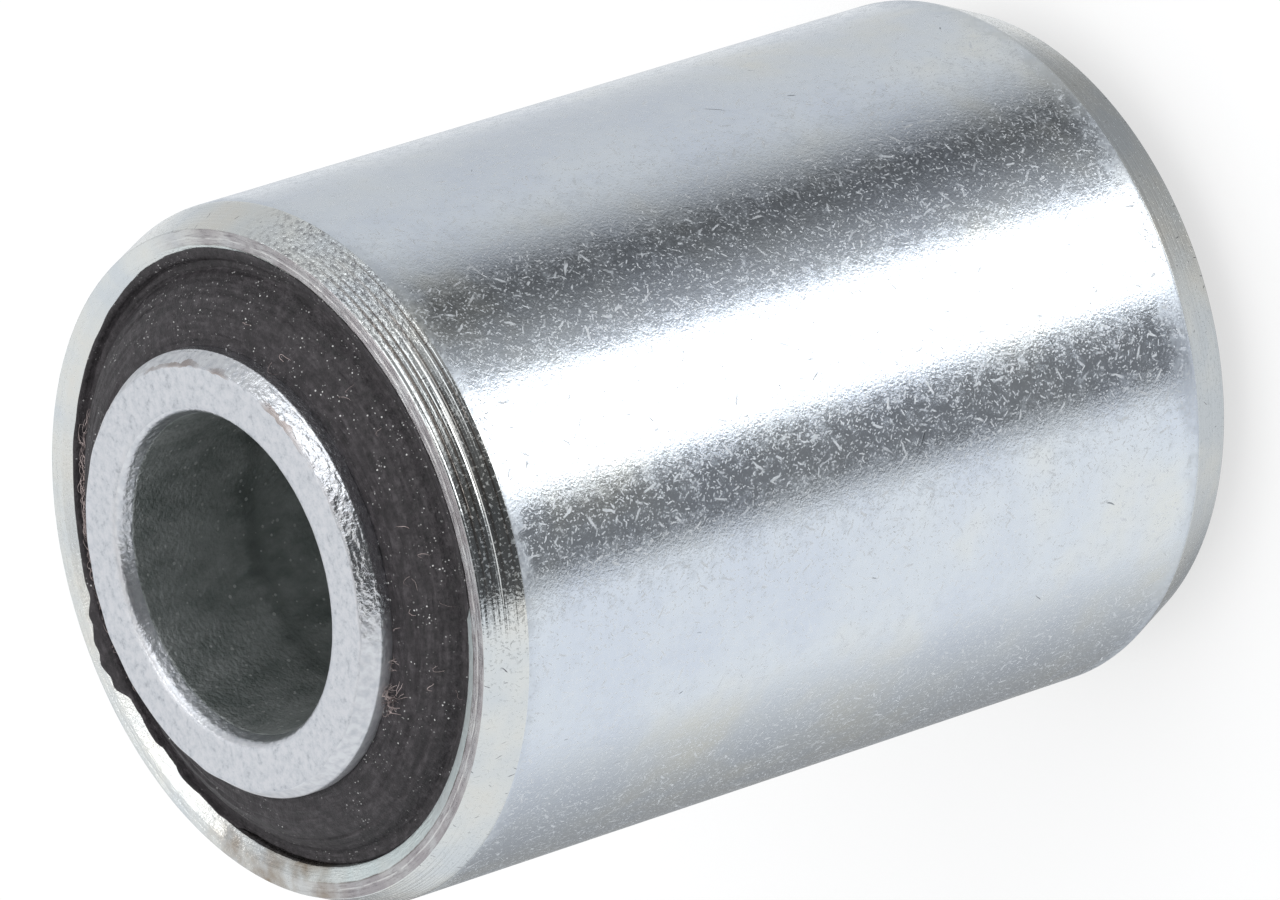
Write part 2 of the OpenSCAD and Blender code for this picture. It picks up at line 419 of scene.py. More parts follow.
def makeBarrelZinc(values):
    # bright zinc plate on drawn tube, tumbled in bulk: a grey mirror with fine pits and short pale scuffs
    # (the plate's own grain is some 0.02 mm; it is drawn coarser so that it shows)
    finish, tree, shader, placeMm = newFinish("tumbledZincPlate", {"Metallic": 1.0})
    dots = addNode(tree, "ShaderNodeTexVoronoi", {"Scale": 1 / values["dot"]}, {"Vector": placeMm})
    chance = addNode(tree, "ShaderNodeSeparateColor", links={"Color": dots.outputs["Color"]})
    size = addNode(tree, "ShaderNodeMapRange", {"To Max": values["biggestDot"]},
                   {"Value": chance.outputs["Red"]})
    off = addNode(tree, "ShaderNodeMath", {"operation": "DIVIDE"},
                  {0: dots.outputs["Distance"], 1: size.outputs["Result"]})
    pit = addNode(tree, "ShaderNodeMapRange", {"From Min": 1.0, "From Max": 0.1},
                  {"Value": off.outputs["Value"]})
    faint = addNode(tree, "ShaderNodeMapRange", {"To Min": 0.2}, {"Value": chance.outputs["Green"]})
    cloud = addNode(tree, "ShaderNodeTexNoise", {"Scale": 1 / values["cloud"], "Detail": 3.0},
                    {"Vector": placeMm})
    thick = addNode(tree, "ShaderNodeMapRange", {"From Min": 0.3, "From Max": 0.6, "To Min": 0.45},
                    {"Value": cloud.outputs["Fac"]})
    speck = whereAll(tree, pit.outputs["Result"], faint.outputs["Result"], thick.outputs["Result"])
    for scuff in values["scuffs"]:
        speck = addNode(tree, "ShaderNodeMath", {"operation": "MAXIMUM"},
                        {0: speck, 1: scratches(tree, *scuff)}).outputs["Value"]
    # both ends of the barrel are rubbed dull beside the cones, with a ragged border
    apart = addNode(tree, "ShaderNodeSeparateXYZ", links={"Vector": placeMm})
    ragged = addNode(tree, "ShaderNodeMath",
                     {"operation": "MULTIPLY_ADD", 1: 2 * values["dullWander"], 2: -values["dullWander"]},
                     {0: cloud.outputs["Fac"]})
    level = addNode(tree, "ShaderNodeMath", {"operation": "ADD"},
                    {0: apart.outputs["Z"], 1: ragged.outputs["Value"]})
    upperShoulder = sleeveHigh.z - sleeve["leadInLength"]
    lowerShoulder = sleeveLow.z + sleeve["lowLeadInLength"]
    rubbed = []
    for border, shoulder, least in ((upperShoulder - values["upperDull"], upperShoulder, values["rough"]),
                                    (lowerShoulder + values["lowerDull"], lowerShoulder, 0.0)):
        near = addNode(tree, "ShaderNodeMapRange",
                       {"interpolation_type": "SMOOTHSTEP", "From Min": border, "From Max": shoulder,
                        "To Min": least, "To Max": values["dullRough"]}, {"Value": level.outputs["Value"]})
        rubbed.append(near.outputs["Result"])
    dull = addNode(tree, "ShaderNodeMath", {"operation": "MAXIMUM"}, {0: rubbed[0], 1: rubbed[1]})
    # and all of it is mottled, a little duller in some spots than in others
    mottle = addNode(tree, "ShaderNodeTexNoise",
                     {"Scale": 1 / values["mottle"], "Detail": 4.0, "Roughness": 0.65}, {"Vector": placeMm})
    hazy = addNode(tree, "ShaderNodeMapRange",
                   {"From Min": 0.42, "From Max": 0.72, "To Max": values["mottleRough"]},
                   {"Value": mottle.outputs["Fac"]})
    plate = addNode(tree, "ShaderNodeMath", {"operation": "ADD"},
                    {0: dull.outputs["Value"], 1: hazy.outputs["Result"]})
    rough = addNode(tree, "ShaderNodeMath", {"operation": "MULTIPLY_ADD", 1: values["speckRough"]},
                    {0: speck, 2: plate.outputs["Value"]})
    tree.links.new(rough.outputs["Value"], shader.inputs["Roughness"])
    marks = addNode(tree, "ShaderNodeMath", {"operation": "MAXIMUM"},
                    {0: scratches(tree, *values["nicks"]), 1: scratches(tree, *values["hairs"])})
    flecked = addNode(tree, "ShaderNodeMix", {"data_type": "RGBA", mixSecond: linearColour(values["fleck"])},
                      {mixFactor: speck, mixFirst: zincTint(tree, placeMm, values)})
    darker = addNode(tree, "ShaderNodeMix",
                     {"data_type": "RGBA", mixSecond: linearColour(values["markTone"])},
                     {mixFactor: marks.outputs["Value"], mixFirst: flecked.outputs[mixResult]})
    tree.links.new(darker.outputs[mixResult], shader.inputs["Base Color"])
    grain = addNode(tree, "ShaderNodeTexNoise",
                    {"Scale": 1 / values["grain"], "Detail": 2.0, "Roughness": 0.7}, {"Vector": placeMm})
    pits = addNode(tree, "ShaderNodeBump", {"Distance": values["grainDepth"] * mm, "Strength": 1.0},
                   {"Height": grain.outputs["Fac"]})
    marked = addNode(tree, "ShaderNodeBump",
                     {"Distance": values["markDepth"] * mm, "Strength": 1.0, "invert": True},
                     {"Height": marks.outputs["Value"], "Normal": pits.outputs["Normal"]})
    tree.links.new(marked.outputs["Normal"], shader.inputs["Normal"])
    return finish


def makeConeZinc(values):
    # zinc plate on a turned cone: bright tool rings, flecks, a few dark nicks, and painted shade in the gaps
    # of a bitten stretch
    finish, tree, shader, placeMm = newFinish("turnedZincPlate", {"Metallic": 1.0})
    marked = addNode(tree, "ShaderNodeMix",
                     {"data_type": "RGBA", mixSecond: linearColour(values["markTone"])},
                     {mixFactor: scratches(tree, *values["nicks"]),
                      mixFirst: zincTint(tree, placeMm, values)})
    apart = addNode(tree, "ShaderNodeSeparateXYZ", links={"Vector": placeMm})
    upper = addNode(tree, "ShaderNodeMath", {"operation": "GREATER_THAN", 1: midHeight},
                    {0: apart.outputs["Z"]}).outputs["Value"]
    # darker brown bands between the rings, on one side of the upper cone only
    bands = addNode(tree, "ShaderNodeTexNoise",
                    {"noise_dimensions": "1D", "Scale": 1 / values["dirtSpacing"], "Detail": 2.0},
                    {"W": apart.outputs["Z"]})
    caught = addNode(tree, "ShaderNodeMapRange",
                     {"From Min": 0.5, "From Max": 0.68, "To Max": values["dirtShade"]},
                     {"Value": bands.outputs["Fac"]})
    bandMask = whereAll(tree, caught.outputs["Result"], upper, sideMask(tree, placeMm, *values["dirtSide"]))
    banded = addNode(tree, "ShaderNodeMix", {"data_type": "RGBA", mixSecond: linearColour(values["dirt"])},
                    {mixFactor: bandMask, mixFirst: marked.outputs[mixResult]})
    # one stretch of it is bitten like sugar, with painted shade in the low gaps between the crumbs
    sugar = addNode(tree, "ShaderNodeTexNoise",
                    {"Scale": 1 / values["sugar"], "Detail": 3.0, "Roughness": 0.6}, {"Vector": placeMm})
    bitten = whereAll(tree, upper, sideMask(tree, placeMm, *values["sugarSide"]))
    gaps = addNode(tree, "ShaderNodeMapRange",
                   {"From Min": 0.5, "From Max": 0.36, "To Max": values["gapShade"]},
                   {"Value": sugar.outputs["Fac"]})
    # painted shade: the nicks' dark tone laid into the crumbs' low gaps
    shaded = addNode(tree, "ShaderNodeMix",
                     {"data_type": "RGBA", mixSecond: linearColour(values["markTone"])},
                     {mixFactor: whereAll(tree, gaps.outputs["Result"], bitten),
                      mixFirst: banded.outputs[mixResult]})
    tree.links.new(shaded.outputs[mixResult], shader.inputs["Base Color"])
    grain = addNode(tree, "ShaderNodeTexNoise", {"Scale": 1 / values["grain"], "Detail": 2.0},
                    {"Vector": placeMm})
    pit = addNode(tree, "ShaderNodeMapRange", {"From Min": 0.54, "From Max": 0.68},
                  {"Value": grain.outputs["Fac"]})
    speck = addNode(tree, "ShaderNodeMath", {"operation": "MAXIMUM"},
                    {0: pit.outputs["Result"], 1: scratches(tree, *values["flecks"])})
    rough = addNode(tree, "ShaderNodeMath",
                    {"operation": "MULTIPLY_ADD", 1: values["speckRough"], 2: values["rough"]},
                    {0: speck.outputs["Value"]})
    tree.links.new(rough.outputs["Value"], shader.inputs["Roughness"])
    fine = addNode(tree, "ShaderNodeTexNoise",
                   {"noise_dimensions": "1D", "Scale": 1 / values["ringSpacing"], "Detail": 1.0},
                   {"W": apart.outputs["Z"]})
    lines = addNode(tree, "ShaderNodeBump", {"Distance": values["ringDepth"] * mm, "Strength": 1.0},
                    {"Height": fine.outputs["Fac"]})
    pits = addNode(tree, "ShaderNodeBump", {"Distance": values["grainDepth"] * mm, "Strength": 1.0},
                   {"Height": grain.outputs["Fac"], "Normal": lines.outputs["Normal"]})
    depth = addNode(tree, "ShaderNodeMapRange", {"To Max": values["sugarDepth"] * mm}, {"Value": bitten})
    crumbs = addNode(tree, "ShaderNodeBump", {"Strength": 1.0},
                     {"Height": sugar.outputs["Fac"], "Distance": depth.outputs["Result"],
                      "Normal": pits.outputs["Normal"]})
    tree.links.new(crumbs.outputs["Normal"], shader.inputs["Normal"])
    return finish


def makeLipZinc(values):
    # zinc plate on the faced lip and its dish: a pale dish, a dark line at the dish's edge, a scraped lip and
    # one brown patch
    finish, tree, shader, placeMm = newFinish("facedZincPlate", {"Metallic": 1.0})
    colour = zincTint(tree, placeMm, values)
    cloud = addNode(tree, "ShaderNodeTexNoise", {"Scale": 1 / values["cloud"], "Detail": 3.0},
                    {"Vector": placeMm})
    wandered = addNode(tree, "ShaderNodeMath", {"operation": "MULTIPLY_ADD", 1: values["wander"]},
                       {0: cloud.outputs["Fac"], 2: radiusOf(tree, placeMm)})
    ringsFrom, ringsTo = values["ringsFrom"], values["ringsTo"]
    outwards = addNode(tree, "ShaderNodeMapRange", {"From Min": ringsFrom + values["wander"] / 2,
                                                    "From Max": ringsTo + values["wander"] / 2},
                       {"Value": wandered.outputs["Value"]})
    rings = addNode(tree, "ShaderNodeValToRGB", links={"Fac": outwards.outputs["Result"]})
    setStops(rings, [((r - ringsFrom) / (ringsTo - ringsFrom), values[tone]) for r, tone in values["rings"]])
    patchy = addNode(tree, "ShaderNodeMapRange", {"From Min": 0.35, "From Max": 0.6, "To Min": 0.55},
                     {"Value": cloud.outputs["Fac"]})
    flow = ringFlow(tree, placeMm, values["scoreAround"], values["scoreAcross"])
    scraped = addNode(tree, "ShaderNodeMapRange", {"From Min": 0.5, "From Max": 0.68, "To Max": 0.8},
                      {"Value": flow})
    dishEnd = (values["dishEnd"] - ringsFrom) / (ringsTo - ringsFrom)
    offDish = addNode(tree, "ShaderNodeMapRange", {"From Min": dishEnd, "From Max": dishEnd + 0.04},
                      {"Value": outwards.outputs["Result"]})
    worn = sideMask(tree, placeMm, *values["scrapedSide"])
    ragged = addNode(tree, "ShaderNodeMapRange",
                     {"From Min": 0.38, "From Max": 0.68, "To Min": 0.12, "To Max": 0.85},
                     {"Value": cloud.outputs["Fac"]})
    stained = sideMask(tree, placeMm, *values["stainSide"])
    for mask, tone in ((whereAll(tree, patchy.outputs["Result"], worn), rings.outputs["Color"]),
                       (whereAll(tree, offDish.outputs["Result"], scraped.outputs["Result"], worn),
                        values["scrape"]),
                       (whereAll(tree, ragged.outputs["Result"], stained), values["stain"])):
        settings, links = {"data_type": "RGBA"}, {mixFactor: mask, mixFirst: colour}
        if isinstance(tone, str):
            settings[mixSecond] = linearColour(tone)
        else:
            links[mixSecond] = tone
        colour = addNode(tree, "ShaderNodeMix", settings, links).outputs[mixResult]
    tree.links.new(colour, shader.inputs["Base Color"])
    grain = addNode(tree, "ShaderNodeTexNoise", {"Scale": 1 / values["grain"], "Detail": 2.0},
                    {"Vector": placeMm})
    pit = addNode(tree, "ShaderNodeMapRange",
                  {"From Min": 0.54, "From Max": 0.68, "To Min": values["rough"],
                   "To Max": values["speckRough"]},
                  {"Value": grain.outputs["Fac"]})
    # the dish is dull on the side where the rubber leaves it bare
    onDish = addNode(tree, "ShaderNodeMapRange",
                     {"From Min": dishEnd, "From Max": dishEnd - 0.02, "To Max": values["dishRough"]},
                     {"Value": outwards.outputs["Result"]})
    dull = addNode(tree, "ShaderNodeMath", {"operation": "MULTIPLY_ADD"},
                   {0: onDish.outputs["Result"], 1: sideMask(tree, placeMm, *values["bareSide"]),
                    2: pit.outputs["Result"]})
    tree.links.new(dull.outputs["Value"], shader.inputs["Roughness"])
    scored = addNode(tree, "ShaderNodeBump", {"Distance": values["scoreDepth"] * mm, "Strength": 1.0},
                     {"Height": flow})
    pits = addNode(tree, "ShaderNodeBump", {"Distance": values["grainDepth"] * mm, "Strength": 1.0},
                   {"Height": grain.outputs["Fac"], "Normal": scored.outputs["Normal"]})
    tree.links.new(pits.outputs["Normal"], shader.inputs["Normal"])
    return finish


def makeSleeve(values):
    rng = random.Random(values["seed"])
    lowLeadInDepth = values["leadInDepth"] * values["lowLeadInLength"] / values["leadInLength"]
    lipStart = mouthRadius + values["dishWidth"]
    soft, shoulder = values["edgeSoft"], values["shoulderSoft"]
    corners = [
        (mouthRadius, sleeveHalf - values["dishDepth"], soft, "dish"),
        (lipStart, sleeveHalf, soft, "lip"),
        (sleeveRadius - values["leadInDepth"], sleeveHalf, soft, "leadIn"),
        (sleeveRadius, sleeveHalf - values["leadInLength"], shoulder, "barrel"),
        (sleeveRadius, values["lowLeadInLength"] - sleeveHalf, shoulder, "leadIn"),
        (sleeveRadius - lowLeadInDepth, -sleeveHalf, soft, "lip"),
        (lipStart, -sleeveHalf, soft, "dish"),
        (mouthRadius, values["dishDepth"] - sleeveHalf, soft, "wall")]
    points, edges = softOutline(corners, values["steps"])
    normals = outlineNormals(points)
    angle = np.arange(values["columns"]) * turn / values["columns"]
    ringX, ringY = np.cos(angle)[None, :], np.sin(angle)[None, :]
    sink = np.zeros((len(points), values["columns"]))  # how far the surface lies under its outline

    # the tool bit deepest on one side of the cone
    towards = np.cos(angle - math.radians(values["biteHeading"]))
    bite = np.clip(values["biteSlope"] * towards - values["biteShift"], values["biteLeast"], 1)[None, :]
    for end, length, strength in ((1, values["leadInLength"], 1.0),
                                  (-1, values["lowLeadInLength"], values["lowGrooves"])):
        # turning grooves, each fading in and out round the cone
        below = sleeveHalf - end * points[:, 1]
        onCone = ((edges == "leadIn") & (end * points[:, 1] > 0))[:, None]
        groove = values["grooveSpacing"]
        while groove < length - values["margin"]:
            depth = strength * values["grooveDepth"] * rng.uniform(*values["depths"])
            width = values["grooveSpacing"] * rng.uniform(*values["widths"])
            own = np.array([[groove * values["fadeApart"] + end]])
            fade = lumps(ringX, ringY, own, values["fadeSize"], shift=5.0)
            fade = np.clip(values["fadeMiddle"] + values["fadeSwing"] * fade, values["fadeLeast"], 1)
            line = np.exp(-((below[:, None] - groove) / width) ** 2)
            sink += onCone * bite * depth * fade * line
            groove += values["grooveSpacing"] * rng.uniform(*values["gaps"])

    onBarrel = edges == "barrel"
    for _ in range(values["dents"]):  # shallow handling dents
        heading, height = rng.uniform(0, turn), rng.uniform(-sleeveHalf, sleeveHalf)
        size, depth = rng.uniform(*values["dentSize"]), rng.uniform(*values["dentDepth"])
        across = offHeading(angle, heading) * sleeveRadius
        away = (across[None, :] ** 2 + (points[:, 1][:, None] - height) ** 2) / size ** 2
        sink += onBarrel[:, None] * depth * np.exp(-away)

    onEnd = np.isin(edges, ["lip", "dish"])[:, None]
    rough = lumps(ringX * points[:, :1], ringY * points[:, :1], points[:, 1:], values["lipLump"])
    lineRadius, lineWidth, lineDepth = values["lipLine"]  # one ring left by the facing tool
    facing = np.exp(-((points[:, :1] - lineRadius) / lineWidth) ** 2)
    sink += onEnd * (values["lipDepth"] * (1 + rough) + lineDepth * facing)
    heading, nickRadius, size, depth = values["nick"]  # knocked into the upper lip
    across = offHeading(angle, math.radians(heading)) * nickRadius
    away = (across[None, :] ** 2 + (points[:, :1] - nickRadius) ** 2) / size ** 2
    sink += onEnd * (points[:, 1:] > 0) * depth * np.exp(-away)
    radius = points[:, :1] - sink * normals[:, :1]
    height = points[:, 1:] - sink * normals[:, 1:] + midHeight
    finishOf = np.select([onBarrel, edges == "leadIn"], [0, 1], 2)
    return ringPiece("outerSleeve", radius, height, finishOf,
                     [makeBarrelZinc(barrelValues), makeConeZinc(coneValues), makeLipZinc(lipValues)])


outerSleeve = makeSleeve(sleeve)
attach(outerSleeve, "root")
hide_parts("outer_sleeve")

# bolt tube, in mm
boltTube = {"chamferDepth": 0.35, "chamferLength": 0.5, "boreLeadDepth": 0.2, "boreLeadLength": 0.55,
            "edgeSoft": 0.09, "boreSoft": 0.25, "columns": 360,
            "steps": {"boreEdge": 0.03, "face": 0.07, "rim": 0.03, "wall": 0.8, "bore": 0.8},
            "rimLump": 0.17, "rimDepth": 0.03, "coarse": 0.65, "fine": 0.35, "boreDepth": 0.014,
            "boreKnocked": 0.7, "faceLump": 0.3, "faceDepth": 0.006,
            "under": 0.8,  # keeps the lumps below the outline
            "bruiseHeading": -60, "bruiseSlope": 1.2, "bruiseShift": 0.4, "bruiseLeast": 0.04,
            "borderWidth": 0.12, "borderWaves": 6, "borderWander": 0.07}
tubeValues = {"faceCool": "#d2d5da", "facePale": "#dfe0e4", "facePit": "#afb2b8", "facePatch": 0.28,
              "faceRough": 0.46, "faceGrain": 0.08, "faceGrainDepth": 0.012,
              "rimBright": "#e6e8eb", "rimPatch": 0.25, "rimRough": 0.2, "rimGrain": 0.14,
              "smoothDepth": 0.004, "bruiseDepth": 0.035, "bruiseCosines": (0.35, 0.75),
              "boreEdge": (0.4, 0.25), "boreEdgeShine": 0.6,  # how far out from the bore its lead-in shines
              "stain": "#9a8a82", "stainShade": 0.7, "stainHalf": 0.07, "stainWave": 0.5, "stainWander": 0.3,
              "stainPatch": 1.8, "stainSide": (-25, 0.45, 0.75),
              "bore": "#ced1d0", "boreDark": "#a2a8a6", "boreRough": 0.55, "boreMottle": 1.1,
              "boreGrain": 0.16, "boreGrainDepth": 0.05, "grit": "#e6e8e6", "gritGap": 0.30, "gritSize": 0.22,
              # the ring values place a painted shadow ring down the bore
              "ringTone": "#6f7674", "ringDown": 5.0, "ringWave": 1.2, "ringWide": 0.55, "ringCore": 0.1,
              "ringShade": 0.35}


def rimStain(tree, placeMm, values):
    # thin brown line where the end face meets its chamfer, coming and going round the tube
    wave = addNode(tree, "ShaderNodeTexNoise", {"Scale": 1 / values["stainWave"], "Detail": 3.0},
                   {"Vector": placeMm})
    edgeAt = addNode(tree, "ShaderNodeMath", {"operation": "MULTIPLY_ADD", 1: values["stainWander"]},
                     {0: wave.outputs["Fac"], 2: radiusOf(tree, placeMm)})
    rimStart = tubeRadius - boltTube["chamferDepth"] + values["stainWander"] / 2
    onLine = addNode(tree, "ShaderNodeMath", {"operation": "COMPARE", 1: rimStart, 2: values["stainHalf"]},
                     {0: edgeAt.outputs["Value"]})
    where = addNode(tree, "ShaderNodeTexNoise", {"Scale": 1 / values["stainPatch"], "Detail": 2.0},
                    {"Vector": placeMm})
    some = addNode(tree, "ShaderNodeMapRange",
                   {"From Min": 0.48, "From Max": 0.62, "To Max": values["stainShade"]},
                   {"Value": where.outputs["Fac"]})
    return whereAll(tree, onLine.outputs["Value"], some.outputs["Result"],
                    sideMask(tree, placeMm, *values["stainSide"]))


def makeTubeFace(values):
    # sawn and barrelled end, zinc plated: matt and pale, with a sandy grain and brown stains at its edge
    finish, tree, shader, placeMm = newFinish("sandyZincEnd",
                                              {"Metallic": 1.0, "Roughness": values["faceRough"]})
    patch = addNode(tree, "ShaderNodeTexNoise",
                    {"Scale": 1 / values["facePatch"], "Detail": 7.0, "Roughness": 0.75}, {"Vector": placeMm})
    tone = addNode(tree, "ShaderNodeValToRGB", links={"Fac": patch.outputs["Fac"]})
    setStops(tone, [(0.30, values["facePit"]), (0.44, values["faceCool"]), (0.58, values["facePale"])])
    stained = addNode(tree, "ShaderNodeMix", {"data_type": "RGBA", mixSecond: linearColour(values["stain"])},
                      {mixFactor: rimStain(tree, placeMm, values), mixFirst: tone.outputs["Color"]})
    tree.links.new(stained.outputs[mixResult], shader.inputs["Base Color"])
    grain = addNode(tree, "ShaderNodeTexNoise",
                    {"Scale": 1 / values["faceGrain"], "Detail": 3.0, "Roughness": 0.7}, {"Vector": placeMm})
    sand = addNode(tree, "ShaderNodeBump", {"Distance": values["faceGrainDepth"] * mm, "Strength": 1.0},
                   {"Height": grain.outputs["Fac"]})
    tree.links.new(sand.outputs["Normal"], shader.inputs["Normal"])
    return finish


def makeTubeRim(values):
    # bruised chamfer, zinc plated: many small bright facets on one side, matt like the face on the other
    finish, tree, shader, placeMm = newFinish("bruisedZincRim", {"Metallic": 1.0})
    patch = addNode(tree, "ShaderNodeTexNoise", {"Scale": 1 / values["rimPatch"], "Detail": 3.0},
                    {"Vector": placeMm})
    tone = addNode(tree, "ShaderNodeValToRGB", links={"Fac": patch.outputs["Fac"]})
    setStops(tone, [(0.35, values["faceCool"]), (0.5, values["facePale"]), (0.6, values["rimBright"])])
    stained = addNode(tree, "ShaderNodeMix", {"data_type": "RGBA", mixSecond: linearColour(values["stain"])},
                      {mixFactor: rimStain(tree, placeMm, values), mixFirst: tone.outputs["Color"]})
    tree.links.new(stained.outputs[mixResult], shader.inputs["Base Color"])
    fadeOut, fadeIn = values["boreEdge"]
    inside = addNode(tree, "ShaderNodeMapRange",
                     {"From Min": boreRadius + fadeOut, "From Max": boreRadius + fadeIn,
                      "To Max": values["boreEdgeShine"]},
                     {"Value": radiusOf(tree, placeMm)})
    bruised = addNode(tree, "ShaderNodeMath", {"operation": "MAXIMUM"},
                      {0: sideMask(tree, placeMm, boltTube["bruiseHeading"], *values["bruiseCosines"]),
                       1: inside.outputs["Result"]}).outputs["Value"]
    shine = addNode(tree, "ShaderNodeMapRange", {"To Min": values["faceRough"], "To Max": values["rimRough"]},
                    {"Value": bruised})
    tree.links.new(shine.outputs["Result"], shader.inputs["Roughness"])
    grain = addNode(tree, "ShaderNodeTexNoise", {"Scale": 1 / values["rimGrain"], "Detail": 3.0},
                    {"Vector": placeMm})
    knocked = addNode(tree, "ShaderNodeMapRange",
                      {"To Min": values["smoothDepth"] * mm, "To Max": values["bruiseDepth"] * mm},
                      {"Value": bruised})
    facets = addNode(tree, "ShaderNodeBump", {"Strength": 1.0},
                     {"Height": grain.outputs["Fac"], "Distance": knocked.outputs["Result"]})
    tree.links.new(facets.outputs["Normal"], shader.inputs["Normal"])
    return finish


def makeBore(values):
    # drawn bore that the plating hardly reached: dull mottled grey-green steel with bright grit, and a
    # painted shadow ring some way down
    finish, tree, shader, placeMm = newFinish("drawnSteelBore",
                                              {"Metallic": 1.0, "Roughness": values["boreRough"]})
    # the mottle is twice as long as wide, along the way the tube was drawn
    drawn = addNode(tree, "ShaderNodeMapping", {"Scale": (1, 1, 0.5)}, {"Vector": placeMm})
    mottle = addNode(tree, "ShaderNodeTexNoise",
                     {"Scale": 1 / values["boreMottle"], "Detail": 6.0, "Roughness": 0.7},
                     {"Vector": drawn.outputs["Vector"]})
    tone = addNode(tree, "ShaderNodeValToRGB", links={"Fac": mottle.outputs["Fac"]})
    setStops(tone, [(0.36, values["boreDark"]), (0.62, values["bore"])])
    # a faint painted shadow ring some way down the bore, where the light from the mouth gives way to shade
    apart = addNode(tree, "ShaderNodeSeparateXYZ", links={"Vector": placeMm})
    wavy = addNode(tree, "ShaderNodeMath", {"operation": "MULTIPLY_ADD", 1: values["ringWave"]},
                   {0: mottle.outputs["Fac"], 2: apart.outputs["Z"]})
    ringHeight = tubeHigh.z - values["ringDown"] + values["ringWave"] / 2
    off = addNode(tree, "ShaderNodeMath", {"operation": "SUBTRACT", 1: ringHeight},
                  {0: wavy.outputs["Value"]})
    away = addNode(tree, "ShaderNodeMath", {"operation": "ABSOLUTE"}, {0: off.outputs["Value"]})
    ring = addNode(tree, "ShaderNodeMapRange",
                   {"interpolation_type": "SMOOTHSTEP", "From Min": values["ringWide"],
                    "From Max": values["ringCore"], "To Max": values["ringShade"]},
                   {"Value": away.outputs["Value"]})
    shadowRinged = addNode(tree, "ShaderNodeMix",
                     {"data_type": "RGBA", mixSecond: linearColour(values["ringTone"])},
                     {mixFactor: ring.outputs["Result"], mixFirst: tone.outputs["Color"]})
    grit = addNode(tree, "ShaderNodeTexVoronoi", {"Scale": 1 / values["gritGap"]}, {"Vector": placeMm})
    chance = addNode(tree, "ShaderNodeSeparateColor", links={"Color": grit.outputs["Color"]})
    size = addNode(tree, "ShaderNodeMath", {"operation": "MULTIPLY", 1: values["gritSize"]},
                   {0: chance.outputs["Red"]})
    speck = addNode(tree, "ShaderNodeMath", {"operation": "LESS_THAN"},
                    {0: grit.outputs["Distance"], 1: size.outputs["Value"]})
    dusted = addNode(tree, "ShaderNodeMix", {"data_type": "RGBA", mixSecond: linearColour(values["grit"])},
                     {mixFactor: speck.outputs["Value"], mixFirst: shadowRinged.outputs[mixResult]})
    tree.links.new(dusted.outputs[mixResult], shader.inputs["Base Color"])
    grain = addNode(tree, "ShaderNodeTexNoise", {"Scale": 1 / values["boreGrain"], "Detail": 3.0},
                    {"Vector": placeMm})
    pits = addNode(tree, "ShaderNodeBump", {"Distance": values["boreGrainDepth"] * mm, "Strength": 1.0},
                   {"Height": grain.outputs["Fac"]})
    tree.links.new(pits.outputs["Normal"], shader.inputs["Normal"])
    return finish


def makeBoltTube(values):
    soft = values["edgeSoft"]
    upper = [
        (boreRadius, tubeHalf - values["boreLeadLength"], soft, "boreEdge"),
        (boreRadius + values["boreLeadDepth"], tubeHalf, values["boreSoft"], "face"),
        (tubeRadius - values["chamferDepth"], tubeHalf, soft, "rim"),
        (tubeRadius, tubeHalf - values["chamferLength"], soft, "wall")]
    lowerEdges = ["rim", "face", "boreEdge", "bore"]
    corners = upper + [(r, -z, s, edge) for (r, z, s, _), edge in zip(upper[::-1], lowerEdges)]
    points, edges = softOutline(corners, values["steps"])
    normals = outlineNormals(points)
    angle = np.arange(values["columns"]) * turn / values["columns"]
    x, y = points[:, :1] * np.cos(angle)[None, :], points[:, :1] * np.sin(angle)[None, :]
    z = points[:, 1:]
    bruise = (values["coarse"] * lumps(x, y, z, values["rimLump"])
              + values["fine"] * lumps(x, y, z, values["rimLump"] / 2, shift=9.0))
    sand = lumps(x, y, z, values["faceLump"], shift=3.0)
    rimDepth = np.select([edges == "rim", edges == "boreEdge"], [values["rimDepth"], values["boreDepth"]],
                         0.0)
    faceDepth = np.where(edges == "face", values["faceDepth"], 0.0)
    # the rim is bruised on one side and smooth on the other
    towards = np.cos(angle - math.radians(values["bruiseHeading"]))
    knocked = np.clip(values["bruiseShift"] + values["bruiseSlope"] * towards, values["bruiseLeast"], 1)
    knocked = np.where((edges == "boreEdge")[:, None], values["boreKnocked"], knocked[None, :])
    sink = (rimDepth[:, None] * knocked * (values["under"] + bruise)
            + faceDepth[:, None] * (values["under"] + sand))
    # the rim's inner border wanders a little round the end
    border = np.exp(-((points[:, 0] - tubeRadius + values["chamferDepth"]) / values["borderWidth"]) ** 2)
    border *= np.isin(edges, ["face", "rim"])
    waves = values["borderWaves"]
    wander = lumps(np.cos(angle) * waves, np.sin(angle) * waves, np.zeros(1), 1.0, shift=2.0)
    radius = points[:, :1] - np.maximum(sink, 0) * normals[:, :1]
    radius = radius + values["borderWander"] * border[:, None] * wander[None, :]
    height = points[:, 1:] - np.maximum(sink, 0) * normals[:, 1:] + midHeight
    finishOf = np.select([edges == "face", edges == "bore"], [0, 2], 1)
    return ringPiece("boltTube", radius, height, finishOf,
                     [makeTubeFace(tubeValues), makeTubeRim(tubeValues), makeBore(tubeValues)])


tubePiece = makeBoltTube(boltTube)
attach(tubePiece, "root")
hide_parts("inner_tube")

